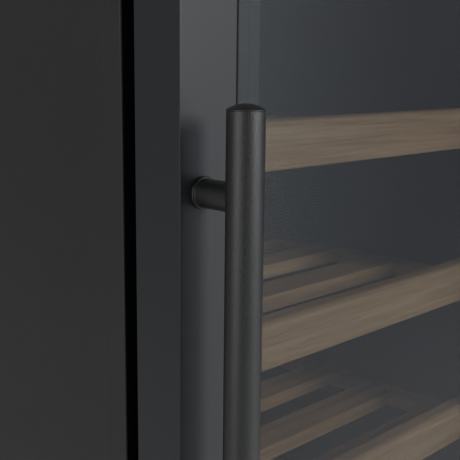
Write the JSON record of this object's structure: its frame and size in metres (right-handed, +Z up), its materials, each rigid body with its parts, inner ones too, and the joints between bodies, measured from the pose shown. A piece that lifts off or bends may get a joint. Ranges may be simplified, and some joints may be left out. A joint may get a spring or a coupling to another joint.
{
  "type": "wine cooler",
  "caption": "Tall free-standing wine cooler: insulated cabinet, tinted glass door in a black frame, long round bar handle, slatted beech shelves and a rear compressor unit.",
  "frame": {"origin": "on the floor, at the middle of the overall footprint, handle included", "axes": "+X right when facing the door, +Y from the door to the back, +Z up"},
  "size_m": [0.595, 0.68, 1.6356],
  "materials": {
    "cabinet_paint": "matte",
    "zinc_steel": "satin",
    "black_steel": "satin",
    "door_black": "satin",
    "handle_black": "satin",
    "liner": "matte",
    "foam": "matte",
    "smoked_glass": "gloss",
    "display": "gloss",
    "clear_glass": "gloss",
    "rubber": "matte",
    "black_plastic": "matte",
    "button": "matte",
    "fin_aluminium": "satin",
    "lamp": "satin",
    "bush": "matte",
    "pin_steel": "satin",
    "beech": "satin"
  },
  "bodies": {
    "cabinet": {"back_panel": "zinc_steel", "base_pan": "zinc_steel", "compressor": "black_steel", "condenser": "fin_aluminium", "condenser_fan_mount": "black_plastic", "control_panel": "black_plastic", "display_lens": "display", "evaporator": "fin_aluminium", "evaporator_cover": "liner", "evaporator_fan_mount": "black_plastic", "front_frame": "cabinet_paint", "hinge_bracket_lower": "black_steel", "hinge_bracket_upper": "black_steel", "hinge_pin_lower": "pin_steel", "hinge_pin_upper": "pin_steel", "inner_liner": "liner", "insulation_foam": "foam", "lamp_cover": "lamp", "plinth_grille": "black_plastic", "power_inlet": "black_plastic", "rear_grille": "zinc_steel", "shelf_front_1": "beech", "shelf_front_2": "beech", "shelf_front_3": "beech", "shelf_front_4": "beech", "shelf_front_5": "beech", "shelf_front_6": "beech", "shelf_front_7": "beech", "shelf_rack_1": "beech", "shelf_rack_2": "beech", "shelf_rack_3": "beech", "shelf_rack_4": "beech", "shelf_rack_5": "beech", "shelf_rack_6": "beech", "shelf_rack_7": "beech", "side_panel_left": "cabinet_paint", "side_panel_right": "cabinet_paint", "top_panel": "cabinet_paint"},
    "door": {"door_frame": "door_black", "door_glass_outer": "smoked_glass", "glazing_spacer": "black_plastic", "door_glass_inner": "clear_glass", "door_inner_frame": "black_plastic", "door_gasket": "rubber", "handle_bar": "handle_black", "handle_cap_upper": "handle_black", "handle_cap_lower": "handle_black", "handle_post_upper": "handle_black", "handle_post_lower": "handle_black", "hinge_bush_lower": "bush", "hinge_bush_upper": "bush"},
    "evaporator_fan": {"evaporator_fan_rotor": "black_plastic"},
    "condenser_fan": {"condenser_fan_rotor": "black_plastic"},
    "button_1": {"control_button_1": "button"},
    "button_2": {"control_button_2": "button"},
    "button_3": {"control_button_3": "button"},
    "foot_1": {"levelling_foot_1": "rubber"},
    "foot_2": {"levelling_foot_2": "rubber"},
    "foot_3": {"levelling_foot_3": "rubber"},
    "foot_4": {"levelling_foot_4": "rubber"}
  },
  "joints": [
    {"name": "door_hinge", "type": "hinge", "parent": "cabinet", "child": "door", "pos_m": [0.283, -0.268, 0.859], "axis": [0, 0, 1], "range_deg": [0, 115]},
    {"name": "evaporator_fan_spin", "type": "hinge", "parent": "cabinet", "child": "evaporator_fan", "pos_m": [0, 0.262, 1.385], "axis": [0, -1, 0], "continuous": true},
    {"name": "condenser_fan_spin", "type": "hinge", "parent": "cabinet", "child": "condenser_fan", "pos_m": [0.01, 0.235, 0.128], "axis": [-1, 0, 0], "continuous": true},
    {"name": "button_1_press", "type": "slide", "parent": "cabinet", "child": "button_1", "axis": [0, 1, 0], "range_m": [0, 0.0012], "stiffness_N_per_m": 900},
    {"name": "button_2_press", "type": "slide", "parent": "cabinet", "child": "button_2", "axis": [0, 1, 0], "range_m": [0, 0.0012], "stiffness_N_per_m": 900},
    {"name": "button_3_press", "type": "slide", "parent": "cabinet", "child": "button_3", "axis": [0, 1, 0], "range_m": [0, 0.0012], "stiffness_N_per_m": 900},
    {"name": "foot_1_turn", "type": "hinge", "parent": "cabinet", "child": "foot_1", "pos_m": [-0.2525, -0.174, 0.02], "axis": [0, 0, 1], "continuous": true},
    {"name": "foot_2_turn", "type": "hinge", "parent": "cabinet", "child": "foot_2", "pos_m": [0.2525, -0.174, 0.02], "axis": [0, 0, 1], "continuous": true},
    {"name": "foot_3_turn", "type": "hinge", "parent": "cabinet", "child": "foot_3", "pos_m": [-0.2525, 0.295, 0.02], "axis": [0, 0, 1], "continuous": true},
    {"name": "foot_4_turn", "type": "hinge", "parent": "cabinet", "child": "foot_4", "pos_m": [0.2525, 0.295, 0.02], "axis": [0, 0, 1], "continuous": true}
  ]
}
